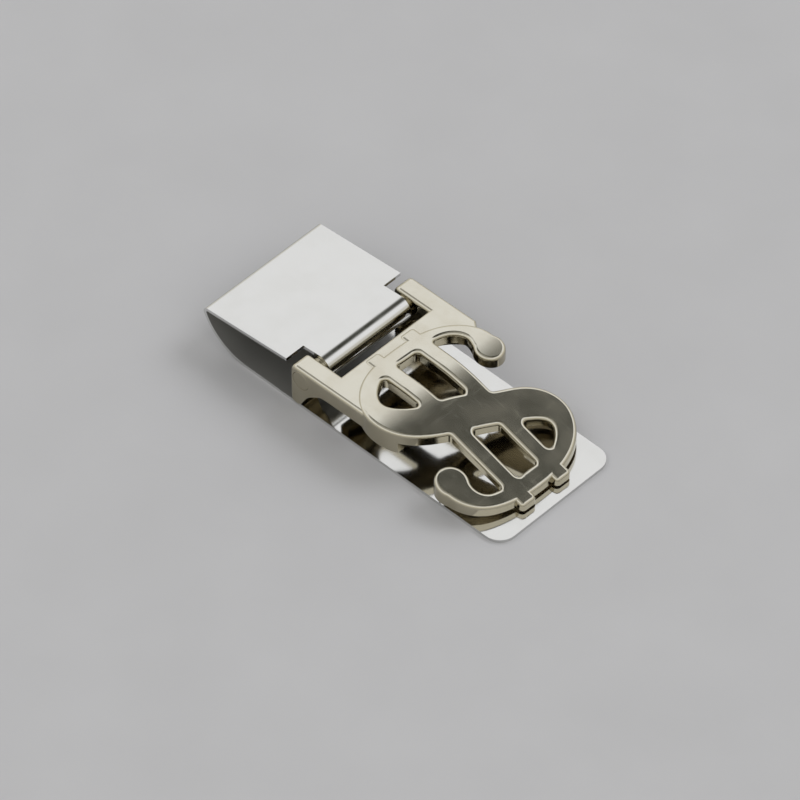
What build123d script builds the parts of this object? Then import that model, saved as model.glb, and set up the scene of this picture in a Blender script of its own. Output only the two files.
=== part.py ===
"""Hinged-lever money clip: a folded spring strip, a cast dollar-sign lever and its hinge pin.

Frame: +X runs from the back bend to the free tip, +Y across the clip, +Z up. The origin is on the
resting plane, below the middle of the clip. Millimetres.
"""

import os
from math import atan, cos, hypot, pi, radians, sin, sqrt, tan

from build123d import *

os.makedirs("parts", exist_ok=True)

# Spring strip
strip_width = 22.0
strip_thickness = 0.5
strip_length = 55.2
tip_corner_radius = 2.6
plate_drift = 0.55  # the plate runs this far to -Y between the soft bend and its tip
bend_radius = 8.65  # outer radius of the soft lower bend
bend_end = 8.0  # the soft bend meets the flat plate this far from the back
flap_rear_height = 6.28  # top of the flap at the back fold
flap_rise = 0.0668  # climb of the flap per unit of length
fold_radius = 0.8
tongue_width = 15.5
tongue_start = 15.5  # square notches beside the tongue start here
notch_length = 6.0
notch_floor = 3.5  # the notches cut only what lies above this height

# Hinge
pin_radius = 1.45
pin_position = 18.6
pin_end_break = 0.06
curl_clearance = 0.05
curl_wrap = 285.0  # degrees of strip wrapped round the pin

# Lever frame: two cam ears, the crossbar and the side rails
lever_width = 23.0
ear_inner = 8.35
ear_rear = 16.6
ear_rear_corner = 1.0
ear_foot = 1.8  # the cam's rounded foot starts at this height
frame_top = 7.5
rail_bottom = 5.0
rail_bottom_start = 24.2
crossbar_start = 23.15
crossbar_bottom = 5.9
web_thickness = 1.3  # a web stiffens the crossbar along its edge on the slot
web_bottom = 2.9
web_overlap = 0.2  # the web runs this far into the ears and the crossbar
near_rail_end = 32.0
far_rail_end = 29.0
frame_edge_radius = 0.55

# Dollar sign, cast in one with the frame
sign_top = 7.7
sign_bend = 34.0  # the sign bends down here
sign_bend_radius = 22.0
sign_tip = 53.5
sign_tip_top = 1.95
sign_tip_bottom = 0.78
sign_edge_radius = 0.55
sign_corner_radius = 0.55
neck_radius = 2.0
sign_turn = 1.5  # degrees that the sign sits askew of the ears, as cast
sign_turn_centre = 24.3
stroke_inner = 1.9
stroke_outer = 4.6
stroke_start = 23.7
stroke_corner_radius = 0.6
window_start = 26.5  # all window corners lie between these distances
window_end = 51.5
bowl_half_width = 11.6
rear_bowl = (32.3, -0.2, 7.9)  # distance, offset and half length of the oval inside its wall
front_bowl = (45.4, -0.6, 7.5)
skirt_width = 1.3
skirt_bend = 27.3  # below the outer walls a skirt runs straight from here to the tip

middle = strip_length / 2


def along(distance, height):
    """A point of the side view, from its distance forward of the back and its height."""
    return (distance - middle, height)


def on_plan(distance, across):
    """A point of the plan view, from its distance forward of the back and its offset."""
    return (distance - middle, across)


# The flap is a straight line that ends tangent to the curl round the pin.
flap_angle = atan(flap_rise)
curl_inner = pin_radius + curl_clearance
curl_outer = curl_inner + strip_thickness
pin_height = flap_rear_height + flap_rise * pin_position - curl_outer / cos(flap_angle)
pin_centre = along(pin_position, pin_height)


def flap_height(distance, depth):
    """Height of the flap's surface, or of a line a depth below it, at a distance from the back."""
    return flap_rear_height + flap_rise * distance - depth / cos(flap_angle)


def curl_point(radius):
    """Where a circle round the pin meets the flap, square to it."""
    return (pin_centre[0] - radius * sin(flap_angle), pin_centre[1] + radius * cos(flap_angle))


def bend_back(depth):
    """Where the back of the soft bend meets the flap, a depth inside the strip's outer skin."""
    radius = bend_radius - depth
    distance = 0.0
    for _ in range(20):
        height = flap_height(distance, depth)
        distance = bend_end - sqrt(radius**2 - (height - bend_radius) ** 2)
    return along(distance, height)


def bend_middle(depth):
    """A point half way round the soft bend, a depth inside the strip's outer skin."""
    radius = bend_radius - depth
    return along(bend_end - radius * sin(radians(38)), bend_radius - radius * cos(radians(38)))


# Spring body: one strip, folded, with a tongue curled round the pin
with BuildPart() as spring_body:
    with BuildSketch(Plane.XZ) as strip_side:
        with BuildLine():
            ThreePointArc(along(bend_end, 0), bend_middle(0), bend_back(0))
            Line(bend_back(0), curl_point(curl_outer))
            Line(curl_point(curl_outer), curl_point(curl_inner))
            Line(curl_point(curl_inner), bend_back(strip_thickness))
            ThreePointArc(
                bend_back(strip_thickness),
                bend_middle(strip_thickness),
                along(bend_end, strip_thickness),
            )
            Line(along(bend_end, strip_thickness), along(bend_end, 0))
        make_face()
        fillet(strip_side.vertices().sort_by_distance(bend_back(0))[0], fold_radius)
        inner_fold = strip_side.vertices().sort_by_distance(bend_back(strip_thickness))[0]
        fillet(inner_fold, fold_radius - strip_thickness)
    extrude(amount=strip_width / 2, both=True)
    # The curl, from the end of the flap over the front of the pin and back below the flap
    top_angle = 90 + flap_angle * 180 / pi
    with BuildSketch(Plane.XZ) as curl_side:
        with BuildLine():
            outer_turn = CenterArc(pin_centre, curl_outer, top_angle, -curl_wrap)
            inner_turn = CenterArc(pin_centre, curl_inner, top_angle, -curl_wrap)
            Line(outer_turn @ 0, inner_turn @ 0)
            Line(outer_turn @ 1, inner_turn @ 1)
        make_face()
    extrude(amount=strip_width / 2, both=True)
    # Square notches leave the tongue between the lever's ears
    with BuildSketch(Plane.XY.offset(notch_floor)) as notches:
        notch_width = (strip_width - tongue_width) / 2
        notch_middle = on_plan(tongue_start + notch_length / 2, (strip_width - notch_width) / 2)
        with Locations(notch_middle, (notch_middle[0], -notch_middle[1])):
            Rectangle(notch_length, notch_width)
    extrude(amount=flap_rear_height, mode=Mode.SUBTRACT)
    # Flat plate, a little askew of the flap, its free end rounded
    with BuildSketch(Plane.XY) as plate_plan:
        with BuildLine():
            Polyline(
                on_plan(bend_end, strip_width / 2),
                on_plan(bend_end, -strip_width / 2),
                on_plan(strip_length, -strip_width / 2 - plate_drift),
                on_plan(strip_length, strip_width / 2 - plate_drift),
                close=True,
            )
        make_face()
        fillet(plate_plan.vertices().group_by(Axis.X)[-1], tip_corner_radius)
    extrude(amount=strip_thickness)
spring_body.part.label = "spring_body"
export_step(spring_body.part, "parts/spring_body.step")


# Hinge pin, its broken ends flush with the ears
with BuildPart() as hinge_pin:
    with BuildSketch(Plane.XZ) as pin_section:
        with Locations(pin_centre):
            Circle(pin_radius)
    extrude(amount=lever_width / 2, both=True)
    chamfer(hinge_pin.edges().filter_by(GeomType.CIRCLE), pin_end_break)
hinge_pin.part.label = "hinge_pin"
export_step(hinge_pin.part, "parts/hinge_pin.step")


# Lever frame: ears that are cams at the hinge and low rails beside the sign, and the crossbar
with BuildPart() as lever_frame:
    with BuildSketch(Plane.XZ) as ear_side:
        with BuildLine():
            Polyline(
                along(near_rail_end, rail_bottom),
                along(near_rail_end, frame_top),
                along(ear_rear, frame_top),
                along(ear_rear, ear_foot),
            )
            ThreePointArc(along(ear_rear, ear_foot), along(17.1, 1.05), along(17.9, 0.85))
            Spline(
                along(17.9, 0.85),
                along(18.9, 1.6),
                along(19.9, 3.2),
                along(21.6, 4.5),
                along(rail_bottom_start, rail_bottom),
                tangents=[(1, 0), (1, 0)],
            )
            Line(along(rail_bottom_start, rail_bottom), along(near_rail_end, rail_bottom))
        make_face()
        top_rear = ear_side.vertices().sort_by_distance(along(ear_rear, frame_top))[0]
        fillet(top_rear, ear_rear_corner)
    extrude(amount=lever_width / 2, both=True)
    # Slot for the tongue, and the hollow below the crossbar
    with BuildSketch(Plane.XY) as slot:
        slot_length = crossbar_start - ear_rear
        with Locations(on_plan(ear_rear + slot_length / 2, 0)):
            Rectangle(slot_length, 2 * ear_inner)
    extrude(amount=2 * frame_top, mode=Mode.SUBTRACT)
    with BuildSketch(Plane.XY) as hollow:
        hollow_length = 2 * (near_rail_end - ear_rear)
        with Locations(on_plan(near_rail_end, 0)):
            Rectangle(hollow_length, 2 * ear_inner)
    extrude(amount=crossbar_bottom, mode=Mode.SUBTRACT)
    # Web below the crossbar's rear edge
    with BuildSketch(Plane.XY.offset(web_bottom)) as web:
        with Locations(on_plan(crossbar_start + web_thickness / 2, 0)):
            Rectangle(web_thickness, 2 * (ear_inner + web_overlap))
    extrude(amount=crossbar_bottom + web_overlap - web_bottom)
    # The far rail tapers away before the near one
    with BuildSketch(Plane.XY) as far_taper:
        with BuildLine():
            Polyline(
                on_plan(far_rail_end, lever_width / 2),
                on_plan(near_rail_end + 1, lever_width / 2),
                on_plan(near_rail_end + 1, ear_inner),
                close=True,
            )
        make_face()
    extrude(amount=2 * frame_top, mode=Mode.SUBTRACT)
    top_face = lever_frame.faces().filter_by(Axis.Z).sort_by(Axis.Z)[-1]
    fillet(top_face.edges().filter_by(Axis.Z, reverse=True), frame_edge_radius)
    # The sign's open middle, cut where the sign itself covers the edge
    with BuildSketch(Plane.XY) as open_middle:
        with Locations(on_plan(32.2, 0)):
            Ellipse(6.2, 9.9)
    extrude(amount=2 * frame_top, mode=Mode.SUBTRACT)
    with BuildSketch(Plane.XZ) as pin_bore:
        with Locations(pin_centre):
            Circle(pin_radius)
    extrude(amount=lever_width, both=True, mode=Mode.SUBTRACT)


# Centre and radius of the two round terminals, at the far back and at the near tip
terminals = [(on_plan(33.4, 9.4), 2.2), (on_plan(45.2, -9.5), 2.4)]


def sign_outline():
    """Plan of the whole sign: the S, its two round terminals and the two strokes."""
    with BuildSketch() as outline:
        with BuildLine():
            # Round the back and the near bowl, along the diagonal, round inside the far bowl
            rear_side = Spline(
                on_plan(33.2, 11.2),
                on_plan(29.3, 10.6),
                on_plan(26.2, 7.4),
                on_plan(24.8, 0),
                on_plan(26.2, -7.5),
                on_plan(29.3, -10.8),
                on_plan(32.4, -11.6),
                on_plan(36.0, -10.5),
                on_plan(38.7, -7.3),
                on_plan(40.2, -4.2),
                on_plan(41.9, 0),
                on_plan(43.9, 4.3),
                on_plan(46.6, 7.7),
                on_plan(49.1, 5.2),
                on_plan(49.7, 0),
                on_plan(49.6, -5.6),
                on_plan(47.7, -8.6),
                on_plan(46.5, -7.8),
                on_plan(45.0, -7.6),
            )
            # Round inside the back and the near bowl, along the diagonal, round the far bowl
            front_side = Spline(
                on_plan(33.2, 7.7),
                on_plan(31.9, 7.8),
                on_plan(30.2, 8.3),
                on_plan(28.2, 7.1),
                on_plan(27.4, 4.2),
                on_plan(27.3, 0),
                on_plan(27.9, -5.4),
                on_plan(31.1, -8.1),
                on_plan(34.0, -5.6),
                on_plan(35.3, -1.9),
                on_plan(36.9, 2.0),
                on_plan(38.5, 4.8),
                on_plan(40.1, 8.3),
                on_plan(42.2, 10.6),
                on_plan(45.6, 11.6),
                on_plan(48.5, 10.5),
                on_plan(50.8, 7.9),
                on_plan(52.1, 4.5),
                on_plan(52.6, 0),
                on_plan(52.0, -5.9),
                on_plan(50.4, -9.3),
                on_plan(47.8, -11.2),
                on_plan(45.0, -11.5),
            )
            Line(rear_side @ 0, front_side @ 0)
            Line(rear_side @ 1, front_side @ 1)
        make_face()
        for centre, radius in terminals:
            with Locations(centre):
                Circle(radius)
        # Ease the neck where each terminal meets the S
        necks = [
            corner
            for corner in outline.vertices()
            for centre, radius in terminals
            if abs(hypot(corner.X - centre[0], corner.Y - centre[1]) - radius) < 0.001
            and abs(corner.Y - centre[1]) > 0.001
        ]
        fillet(necks, neck_radius)
        stroke_length = sign_tip - stroke_start
        stroke_width = stroke_outer - stroke_inner
        stroke_middle = on_plan(stroke_start + stroke_length / 2, stroke_inner + stroke_width / 2)
        with Locations(stroke_middle, (stroke_middle[0], -stroke_middle[1])):
            RectangleRounded(stroke_length, stroke_width, stroke_corner_radius)
        # Round the corners of every window, where a stroke's side meets the S
        window_reach = (window_start - middle, window_end - middle)
        on_stroke_side = [
            corner
            for corner in outline.vertices().filter_by_position(Axis.X, *window_reach)
            if min(abs(abs(corner.Y) - stroke_inner), abs(abs(corner.Y) - stroke_outer)) < 0.001
        ]
        fillet(on_stroke_side, sign_corner_radius)
    return outline.sketch


def top_height(x):
    """Height of the sign's top at a place along the frame's X axis."""
    fall = (sign_top - sign_tip_top) / (sign_tip - sign_bend)
    half_arc = sign_bend_radius * tan(atan(fall) / 2)
    past = x - (sign_bend - middle)
    if past <= -half_arc:
        return sign_top
    if past >= half_arc * cos(atan(fall)):
        return sign_top - fall * past
    return sign_top - sign_bend_radius + sqrt(sign_bend_radius**2 - (past + half_arc) ** 2)


def is_on_top(point):
    return abs(point.Z - top_height(point.X)) < 0.002


def is_bend_line(edge):
    """The two lines across the sign where its bend starts and ends."""
    return edge.geom_type == GeomType.LINE and abs((edge % 0.5).Y) > 0.9999


turned_outline = sign_outline().rotate(Axis(on_plan(sign_turn_centre, 0) + (0,), (0, 0, 1)), -sign_turn)

# The sign bends down towards its tip, and its side view is cut a little past it
past_tip = 1.0
reach = sign_tip - sign_bend
top_end = along(sign_tip + past_tip, sign_tip_top - past_tip * (sign_top - sign_tip_top) / reach)
plate_fall = (crossbar_bottom - sign_tip_bottom) / reach
plate_end = along(sign_tip + past_tip, sign_tip_bottom - past_tip * plate_fall)

# The hollow below the sign's plate, inside the deeper walls round its two bowls
with BuildPart() as hollow_back:
    with BuildSketch(Plane.XZ) as below_plate:
        with BuildLine():
            FilletPolyline(
                along(20, crossbar_bottom),
                along(sign_bend, crossbar_bottom),
                plate_end,
                radius=sign_bend_radius,
            )
            Polyline(plate_end, along(sign_tip + past_tip, -1), along(20, -1), along(20, crossbar_bottom))
        make_face()
    extrude(amount=lever_width, both=True)
    with BuildSketch(Plane.XY.offset(-1)) as inside_walls:
        for distance, across, half_length in (rear_bowl, front_bowl):
            with Locations(on_plan(distance, across)):
                Ellipse(half_length - skirt_width, bowl_half_width - skirt_width)
        # No skirt below the far terminal, nor where the near bowl runs into the diagonal
        with Locations(on_plan(34.2, 9.8)):
            Rectangle(7, 6)
        with Locations(on_plan(38.6, -8)):
            Rectangle(5.6, 8)
    extrude(amount=2 * sign_top, mode=Mode.INTERSECT)

with BuildPart() as sign:
    with BuildSketch(Plane.XZ) as sign_side:
        with BuildLine():
            FilletPolyline(
                along(22, sign_top),
                along(sign_bend, sign_top),
                top_end,
                radius=sign_bend_radius,
            )
            Polyline(
                top_end,
                plate_end,
                along(sign_tip, sign_tip_bottom),
                along(skirt_bend, rail_bottom),
                along(22, rail_bottom),
                along(22, sign_top),
            )
        make_face()
    extrude(amount=lever_width, both=True)
    with BuildSketch(Plane.XY):
        add(turned_outline)
    extrude(amount=2 * sign_top, mode=Mode.INTERSECT)
    add(hollow_back.part, mode=Mode.SUBTRACT)
    # Soft top edges all round the sign and its windows
    rims = [
        edge
        for edge in sign.edges()
        if all(is_on_top(edge @ place) for place in (0.1, 0.5, 0.9)) and not is_bend_line(edge)
    ]
    fillet(rims, sign_edge_radius)

# The lever is one casting, with the pin pressed through its ears
with BuildPart() as dollar_lever:
    add(lever_frame.part)
    add(sign.part)
dollar_lever.part.label = "dollar_lever"
export_step(dollar_lever.part, "parts/dollar_lever.step")
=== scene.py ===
"""Looks of the hinged-lever money clip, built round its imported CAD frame."""

from math import cos, radians, sin

import bpy
from mathutils import Matrix, Vector

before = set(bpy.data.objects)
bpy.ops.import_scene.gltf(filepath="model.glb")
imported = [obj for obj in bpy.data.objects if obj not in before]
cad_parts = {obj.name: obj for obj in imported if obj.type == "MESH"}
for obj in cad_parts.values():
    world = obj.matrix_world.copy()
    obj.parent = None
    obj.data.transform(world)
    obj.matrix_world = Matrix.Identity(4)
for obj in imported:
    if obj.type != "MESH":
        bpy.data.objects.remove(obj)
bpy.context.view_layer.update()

MM = 0.001

# Camera: a long lens from above the near side of the tip
CAMERA_AZIMUTH = 43.91
CAMERA_ELEVATION = 46.3
CAMERA_ROLL = -0.28
CAMERA_DISTANCE = 1.069
CAMERA_TARGET = Vector((-0.67, -1.09, 0.0)) * MM
CAMERA_LENS = 360.0
SENSOR = 36.0

# Linear colours of the metals and the floor
STEEL = (0.72, 0.72, 0.71)
STEEL_TARNISH = (0.68, 0.68, 0.66)
# The dull grey below is painted shade for the inside of the fold and the tongue's underside
STEEL_DULL_SHADE = (0.42, 0.42, 0.41)
NICKEL = (0.69, 0.665, 0.58)
NICKEL_TARNISH = (0.60, 0.55, 0.44)
# The wall colour below is painted shade on the lever's steep faces
NICKEL_WALL_SHADE = (0.42, 0.38, 0.27)
# The dark underside colour below is painted shade, below the lever and on its hidden inner walls
NICKEL_UNDER_SHADE = (0.24, 0.195, 0.11)
# The pin colour below copies the lever's painted wall shade
PIN_SHADED_STEEL = (0.48, 0.44, 0.33)
PIN_TARNISH = (0.42, 0.38, 0.28)
FLOOR_GREY = (0.58, 0.583, 0.61)
CEILING_NEAR = (0.42, 0.41, 0.37)

# Roughness of each polished metal, and of its dull zone
STEEL_POLISH = 0.08
STEEL_DULL_ROUGHNESS = 0.62
NICKEL_POLISH = 0.12
NICKEL_CAST_ROUGHNESS = 0.24
PIN_POLISH = 0.13

# Lumps per metre, and depth, of the metals' wear and of the floor's cloth
CLOUD_SCALE = 260.0
SPECK_SCALE = 2600.0
WEAR_DEPTH = 0.004 * MM
PATCH_SCALE = 55.0
WEAVE_SCALE = 900.0
WEAVE_DEPTH = 0.05 * MM

FLOOR_HALF = 1.5
FLOOR_ROUGHNESS = 0.95
SUN_STRENGTH = 0.55
SUN_ANGLE = radians(30)
SUN_FROM = Vector((0.25, 0.75, 0.75))

# The dull inside of the fold, rougher and given a darker painted shade: the skin that faces this
# line, behind this X
FOLD_LINE = Vector((-19.0, 0.0, 3.4)) * MM
FOLD_FRONT = -11.5 * MM
FOLD_FADE = 2.0 * MM

# Where the other painted-shade zones begin and end: heights, and places along X and across
CURL_UNDERSIDE = (1.5 * MM, 2.0 * MM)
BEHIND_SIGN = (-0.5 * MM, 0.5 * MM)
INNER_WALLS = (11.1 * MM, 11.3 * MM)
LOW_WALLS = (5.0 * MM, 6.5 * MM)


def make_camera():
    """A camera that looks at the target from an azimuth and elevation."""
    azimuth = radians(CAMERA_AZIMUTH)
    elevation = radians(CAMERA_ELEVATION)
    roll = radians(CAMERA_ROLL)
    back = Vector((sin(azimuth) * cos(elevation), -cos(azimuth) * cos(elevation), sin(elevation)))
    right = Vector((cos(azimuth), sin(azimuth), 0.0))
    up = back.cross(right)
    turned_right = right * cos(roll) + up * sin(roll)
    turned_up = up * cos(roll) - right * sin(roll)
    data = bpy.data.cameras.new("camera")
    data.lens = CAMERA_LENS
    data.sensor_width = SENSOR
    data.clip_start = 0.05
    camera = bpy.data.objects.new("camera", data)
    bpy.context.scene.collection.objects.link(camera)
    turn = Matrix((turned_right, turned_up, back)).transposed().to_4x4()
    camera.matrix_world = Matrix.Translation(CAMERA_TARGET + back * CAMERA_DISTANCE) @ turn
    bpy.context.scene.camera = camera


class Graph:
    """A node material with short calls for the nodes the metals share."""

    def __init__(self, name):
        self.material = bpy.data.materials.new(name)
        self.material.use_nodes = True
        self.nodes = self.material.node_tree.nodes
        self.links = self.material.node_tree.links
        self.shader = self.nodes["Principled BSDF"]
        self.place = self.nodes.new("ShaderNodeTexCoord")

    def put(self, socket, value):
        """Link a socket to another one, or set it to a number."""
        if isinstance(value, bpy.types.NodeSocket):
            self.links.new(value, socket)
        else:
            socket.default_value = value

    def math(self, operation, first, second=0.0):
        node = self.nodes.new("ShaderNodeMath")
        node.operation = operation
        self.put(node.inputs[0], first)
        self.put(node.inputs[1], second)
        return node.outputs[0]

    def noise(self, scale, detail, stretch=(1.0, 1.0, 1.0), turn=0.0):
        """Noise in object space, its scale in lumps per metre, stretched along an axis."""
        mapping = self.nodes.new("ShaderNodeMapping")
        mapping.inputs["Rotation"].default_value = (0.0, 0.0, radians(turn))
        mapping.inputs["Scale"].default_value = stretch
        self.links.new(self.place.outputs["Object"], mapping.inputs["Vector"])
        node = self.nodes.new("ShaderNodeTexNoise")
        node.inputs["Scale"].default_value = scale
        node.inputs["Detail"].default_value = detail
        self.links.new(mapping.outputs[0], node.inputs["Vector"])
        return node.outputs[0]

    def remap(self, value, low, high, to_low, to_high):
        """Carry a value from one range to another and clamp it there."""
        node = self.nodes.new("ShaderNodeMapRange")
        self.put(node.inputs[0], value)
        for index, number in enumerate((low, high, to_low, to_high), 1):
            node.inputs[index].default_value = number
        return node.outputs[0]

    def blend(self, amount, first, second):
        """A colour between two others."""
        node = self.nodes.new("ShaderNodeMix")
        node.data_type = "RGBA"
        self.put(node.inputs["Factor"], amount)
        for name, colour in (("A", first), ("B", second)):
            socket = next(s for s in node.inputs if s.name == name and s.type == "RGBA")
            if isinstance(colour, tuple):
                socket.default_value = (*colour, 1.0)
            else:
                self.links.new(colour, socket)
        return next(s for s in node.outputs if s.type == "RGBA")

    def bump(self, height, strength, distance):
        node = self.nodes.new("ShaderNodeBump")
        node.inputs["Strength"].default_value = strength
        node.inputs["Distance"].default_value = distance
        self.links.new(height, node.inputs["Height"])
        self.links.new(node.outputs[0], self.shader.inputs["Normal"])

    def parts_of(self, vector):
        node = self.nodes.new("ShaderNodeSeparateXYZ")
        self.links.new(vector, node.inputs[0])
        return node.outputs


def worn_metal(graph, bright, tarnished, polish, dull_shade=None, dull_shade_colour=None, dull_roughness=None):
    """Polished metal: fine scratches, cloudy wear and tarnish, and a rougher zone of darker painted
    shade where the mask is 1.
    """
    cloud = graph.noise(CLOUD_SCALE, 5.0)
    speck = graph.noise(SPECK_SCALE, 3.0)
    scratch_one = graph.noise(1500.0, 2.0, (0.08, 1.0, 1.0), 14.0)
    scratch_two = graph.noise(1700.0, 2.0, (1.0, 0.07, 1.0), -24.0)
    scratches = graph.math("MAXIMUM", scratch_one, scratch_two)
    # Only the peaks of each noise count
    scratched = graph.remap(scratches, 0.62, 0.74, 0.0, 1.0)
    clouded = graph.remap(cloud, 0.42, 0.66, 0.0, 1.0)
    specked = graph.remap(speck, 0.60, 0.70, 0.0, 1.0)
    colour = graph.blend(graph.math("MULTIPLY", clouded, 0.35), bright, tarnished)
    colour = graph.blend(graph.math("MULTIPLY", specked, 0.10), colour, tarnished)
    roughness = graph.remap(cloud, 0.35, 0.70, polish, polish + 0.06)
    roughness = graph.math("ADD", roughness, graph.math("MULTIPLY", scratched, 0.03))
    if dull_shade is not None:
        # Painted shade: where the mask is 1 the colour turns darker and the roughness rises
        colour = graph.blend(dull_shade, colour, dull_shade_colour)
        rough = graph.math("MULTIPLY", dull_shade, dull_roughness)
        roughness = graph.math("MAXIMUM", roughness, rough)
    graph.links.new(colour, graph.shader.inputs["Base Color"])
    graph.links.new(roughness, graph.shader.inputs["Roughness"])
    graph.shader.inputs["Metallic"].default_value = 1.0
    relief = graph.math("ADD", graph.math("MULTIPLY", scratched, -0.3), cloud)
    graph.bump(relief, 0.15, WEAR_DEPTH)
    return graph.material


def steel_strip():
    """Polished stainless strip, rougher and darkened with painted shade on the skin inside the
    fold.
    """
    graph = Graph("polished_stainless")
    place = graph.parts_of(graph.place.outputs["Object"])
    facing = graph.parts_of(graph.place.outputs["Normal"])
    # Painted shade on the skin inside the fold, which faces the fold line
    toward_x = graph.math("MULTIPLY", graph.math("SUBTRACT", FOLD_LINE.x, place[0]), facing[0])
    toward_z = graph.math("MULTIPLY", graph.math("SUBTRACT", FOLD_LINE.z, place[2]), facing[2])
    toward = graph.math("ADD", toward_x, toward_z)
    inside = graph.remap(toward, 0.2 * MM, 0.8 * MM, 0.0, 1.0)
    behind = graph.remap(place[0], FOLD_FRONT, FOLD_FRONT + FOLD_FADE, 1.0, 0.0)
    dull_shade = graph.math("MULTIPLY", inside, behind)
    # So, with the same rougher finish and painted shade, are the tongue's underside and the lower
    # half of its curl
    raised = graph.remap(place[2], *CURL_UNDERSIDE, 0.0, 1.0)
    downward = graph.remap(facing[2], -0.05, -0.35, 0.0, 1.0)
    ahead = graph.remap(place[0], FOLD_FRONT - FOLD_FADE, FOLD_FRONT, 0.0, 1.0)
    curl = graph.math("MULTIPLY", graph.math("MULTIPLY", raised, downward), ahead)
    dull_shade = graph.math("MAXIMUM", dull_shade, curl)
    return worn_metal(
        graph, STEEL, STEEL_TARNISH, STEEL_POLISH, dull_shade, STEEL_DULL_SHADE, STEEL_DULL_ROUGHNESS
    )


def cast_lever():
    """Nickel plate: bright on top, with painted shade deepening the side walls' colour and
    darkening the rough underside.
    """
    graph = Graph("nickel_plated_casting")
    facing = graph.parts_of(graph.place.outputs["Normal"])
    # Painted shade: faces that point down take the dark underside colour
    under_shade = graph.remap(facing[2], -0.75, -0.45, 1.0, 0.0)
    # The low inner walls behind the sign get the same painted shade as the underside
    place = graph.parts_of(graph.place.outputs["Object"])
    behind = graph.remap(place[0], *BEHIND_SIGN, 1.0, 0.0)
    inner = graph.remap(graph.math("ABSOLUTE", place[1]), *INNER_WALLS, 1.0, 0.0)
    low = graph.remap(place[2], *LOW_WALLS, 1.0, 0.0)
    hidden_shade = graph.math("MULTIPLY", graph.math("MULTIPLY", behind, inner), low)
    under_shade = graph.math("MAXIMUM", under_shade, hidden_shade)
    # Painted shade: the steeper a face, the deeper its colour
    wall_shade = graph.remap(graph.math("ABSOLUTE", facing[2]), 0.20, 0.93, 0.85, 0.0)
    bright = graph.blend(wall_shade, NICKEL, NICKEL_WALL_SHADE)
    return worn_metal(
        graph, bright, NICKEL_TARNISH, NICKEL_POLISH, under_shade, NICKEL_UNDER_SHADE, NICKEL_CAST_ROUGHNESS
    )


def pin_metal():
    """Steel coloured like the lever's side walls, whose painted shade it copies, so that its flush
    ends hardly show.
    """
    graph = Graph("steel_pin")
    return worn_metal(graph, PIN_SHADED_STEEL, PIN_TARNISH, PIN_POLISH)


def dress(node, material):
    """Give a CAD node's object one material."""
    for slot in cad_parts[node].material_slots:
        slot.material = material


def make_world():
    """A plain studio: a bright belt of soft light, a darker ceiling and a pale beige room."""
    world = bpy.data.worlds.new("studio")
    bpy.context.scene.world = world
    world.use_nodes = True
    nodes, links = world.node_tree.nodes, world.node_tree.links
    place = nodes.new("ShaderNodeTexCoord")
    split = nodes.new("ShaderNodeSeparateXYZ")
    links.new(place.outputs["Generated"], split.inputs[0])
    ramp = nodes.new("ShaderNodeValToRGB")
    links.new(split.outputs["Z"], ramp.inputs[0])
    # Colour of the room by the sine of the elevation
    stops = [
        (0.0, (0.60, 0.58, 0.50)),
        (0.40, (0.72, 0.70, 0.63)),
        (0.56, (0.97, 0.97, 0.97)),
        (0.78, (0.97, 0.97, 0.97)),
        (0.82, (0.52, 0.52, 0.50)),
        (0.855, (0.055, 0.055, 0.045)),
        (1.0, (0.055, 0.055, 0.045)),
    ]
    while len(ramp.color_ramp.elements) < len(stops):
        ramp.color_ramp.elements.new(0.5)
    for element, (position, colour) in zip(ramp.color_ramp.elements, stops):
        element.position = position
        element.color = (*colour, 1.0)
    # The ceiling is dark on the far side only: lit is 1 overhead and on the near side
    lit = nodes.new("ShaderNodeMath")
    lit.operation = "MULTIPLY"
    for index, (axis, none, full) in enumerate((("Z", 0.80, 0.86), ("Y", 0.35, -0.10))):
        share = nodes.new("ShaderNodeMapRange")
        links.new(split.outputs[axis], share.inputs["Value"])
        share.inputs["From Min"].default_value = none
        share.inputs["From Max"].default_value = full
        links.new(share.outputs[0], lit.inputs[index])
    ceiling = nodes.new("ShaderNodeMixRGB")
    links.new(lit.outputs[0], ceiling.inputs[0])
    links.new(ramp.outputs[0], ceiling.inputs[1])
    ceiling.inputs[2].default_value = (*CEILING_NEAR, 1.0)
    links.new(ceiling.outputs[0], nodes["Background"].inputs["Color"])


def make_sun():
    """A broad soft light from the far side. No reflection shows it, so it lights only the floor."""
    data = bpy.data.lights.new("soft_sun", "SUN")
    data.energy = SUN_STRENGTH
    data.angle = SUN_ANGLE
    sun = bpy.data.objects.new("soft_sun", data)
    sun.rotation_euler = SUN_FROM.to_track_quat("Z", "Y").to_euler()
    sun.visible_glossy = False
    bpy.context.scene.collection.objects.link(sun)


def make_floor():
    """A plain pale cloth-like floor."""
    mesh = bpy.data.meshes.new("floor")
    corners = [(x * FLOOR_HALF, y * FLOOR_HALF, 0) for x, y in ((-1, -1), (1, -1), (1, 1), (-1, 1))]
    mesh.from_pydata(corners, [], [(0, 1, 2, 3)])
    floor = bpy.data.objects.new("floor", mesh)
    bpy.context.scene.collection.objects.link(floor)
    graph = Graph("pale_floor")
    patch = graph.remap(graph.noise(PATCH_SCALE, 3.0), 0.3, 0.7, 0.0, 1.0)
    paler = tuple(part * 1.04 for part in FLOOR_GREY)
    graph.links.new(graph.blend(patch, FLOOR_GREY, paler), graph.shader.inputs["Base Color"])
    graph.shader.inputs["Roughness"].default_value = FLOOR_ROUGHNESS
    warp = graph.noise(WEAVE_SCALE, 2.0, (1.0, 0.2, 1.0))
    weft = graph.noise(WEAVE_SCALE, 2.0, (0.2, 1.0, 1.0))
    weave = graph.math("ADD", warp, weft)
    graph.bump(weave, 0.3, WEAVE_DEPTH)
    floor.data.materials.append(graph.material)


make_camera()
make_world()
make_sun()
make_floor()
dress("spring_body", steel_strip())
dress("dollar_lever", cast_lever())
dress("hinge_pin", pin_metal())
bpy.context.scene.view_settings.view_transform = "Standard"
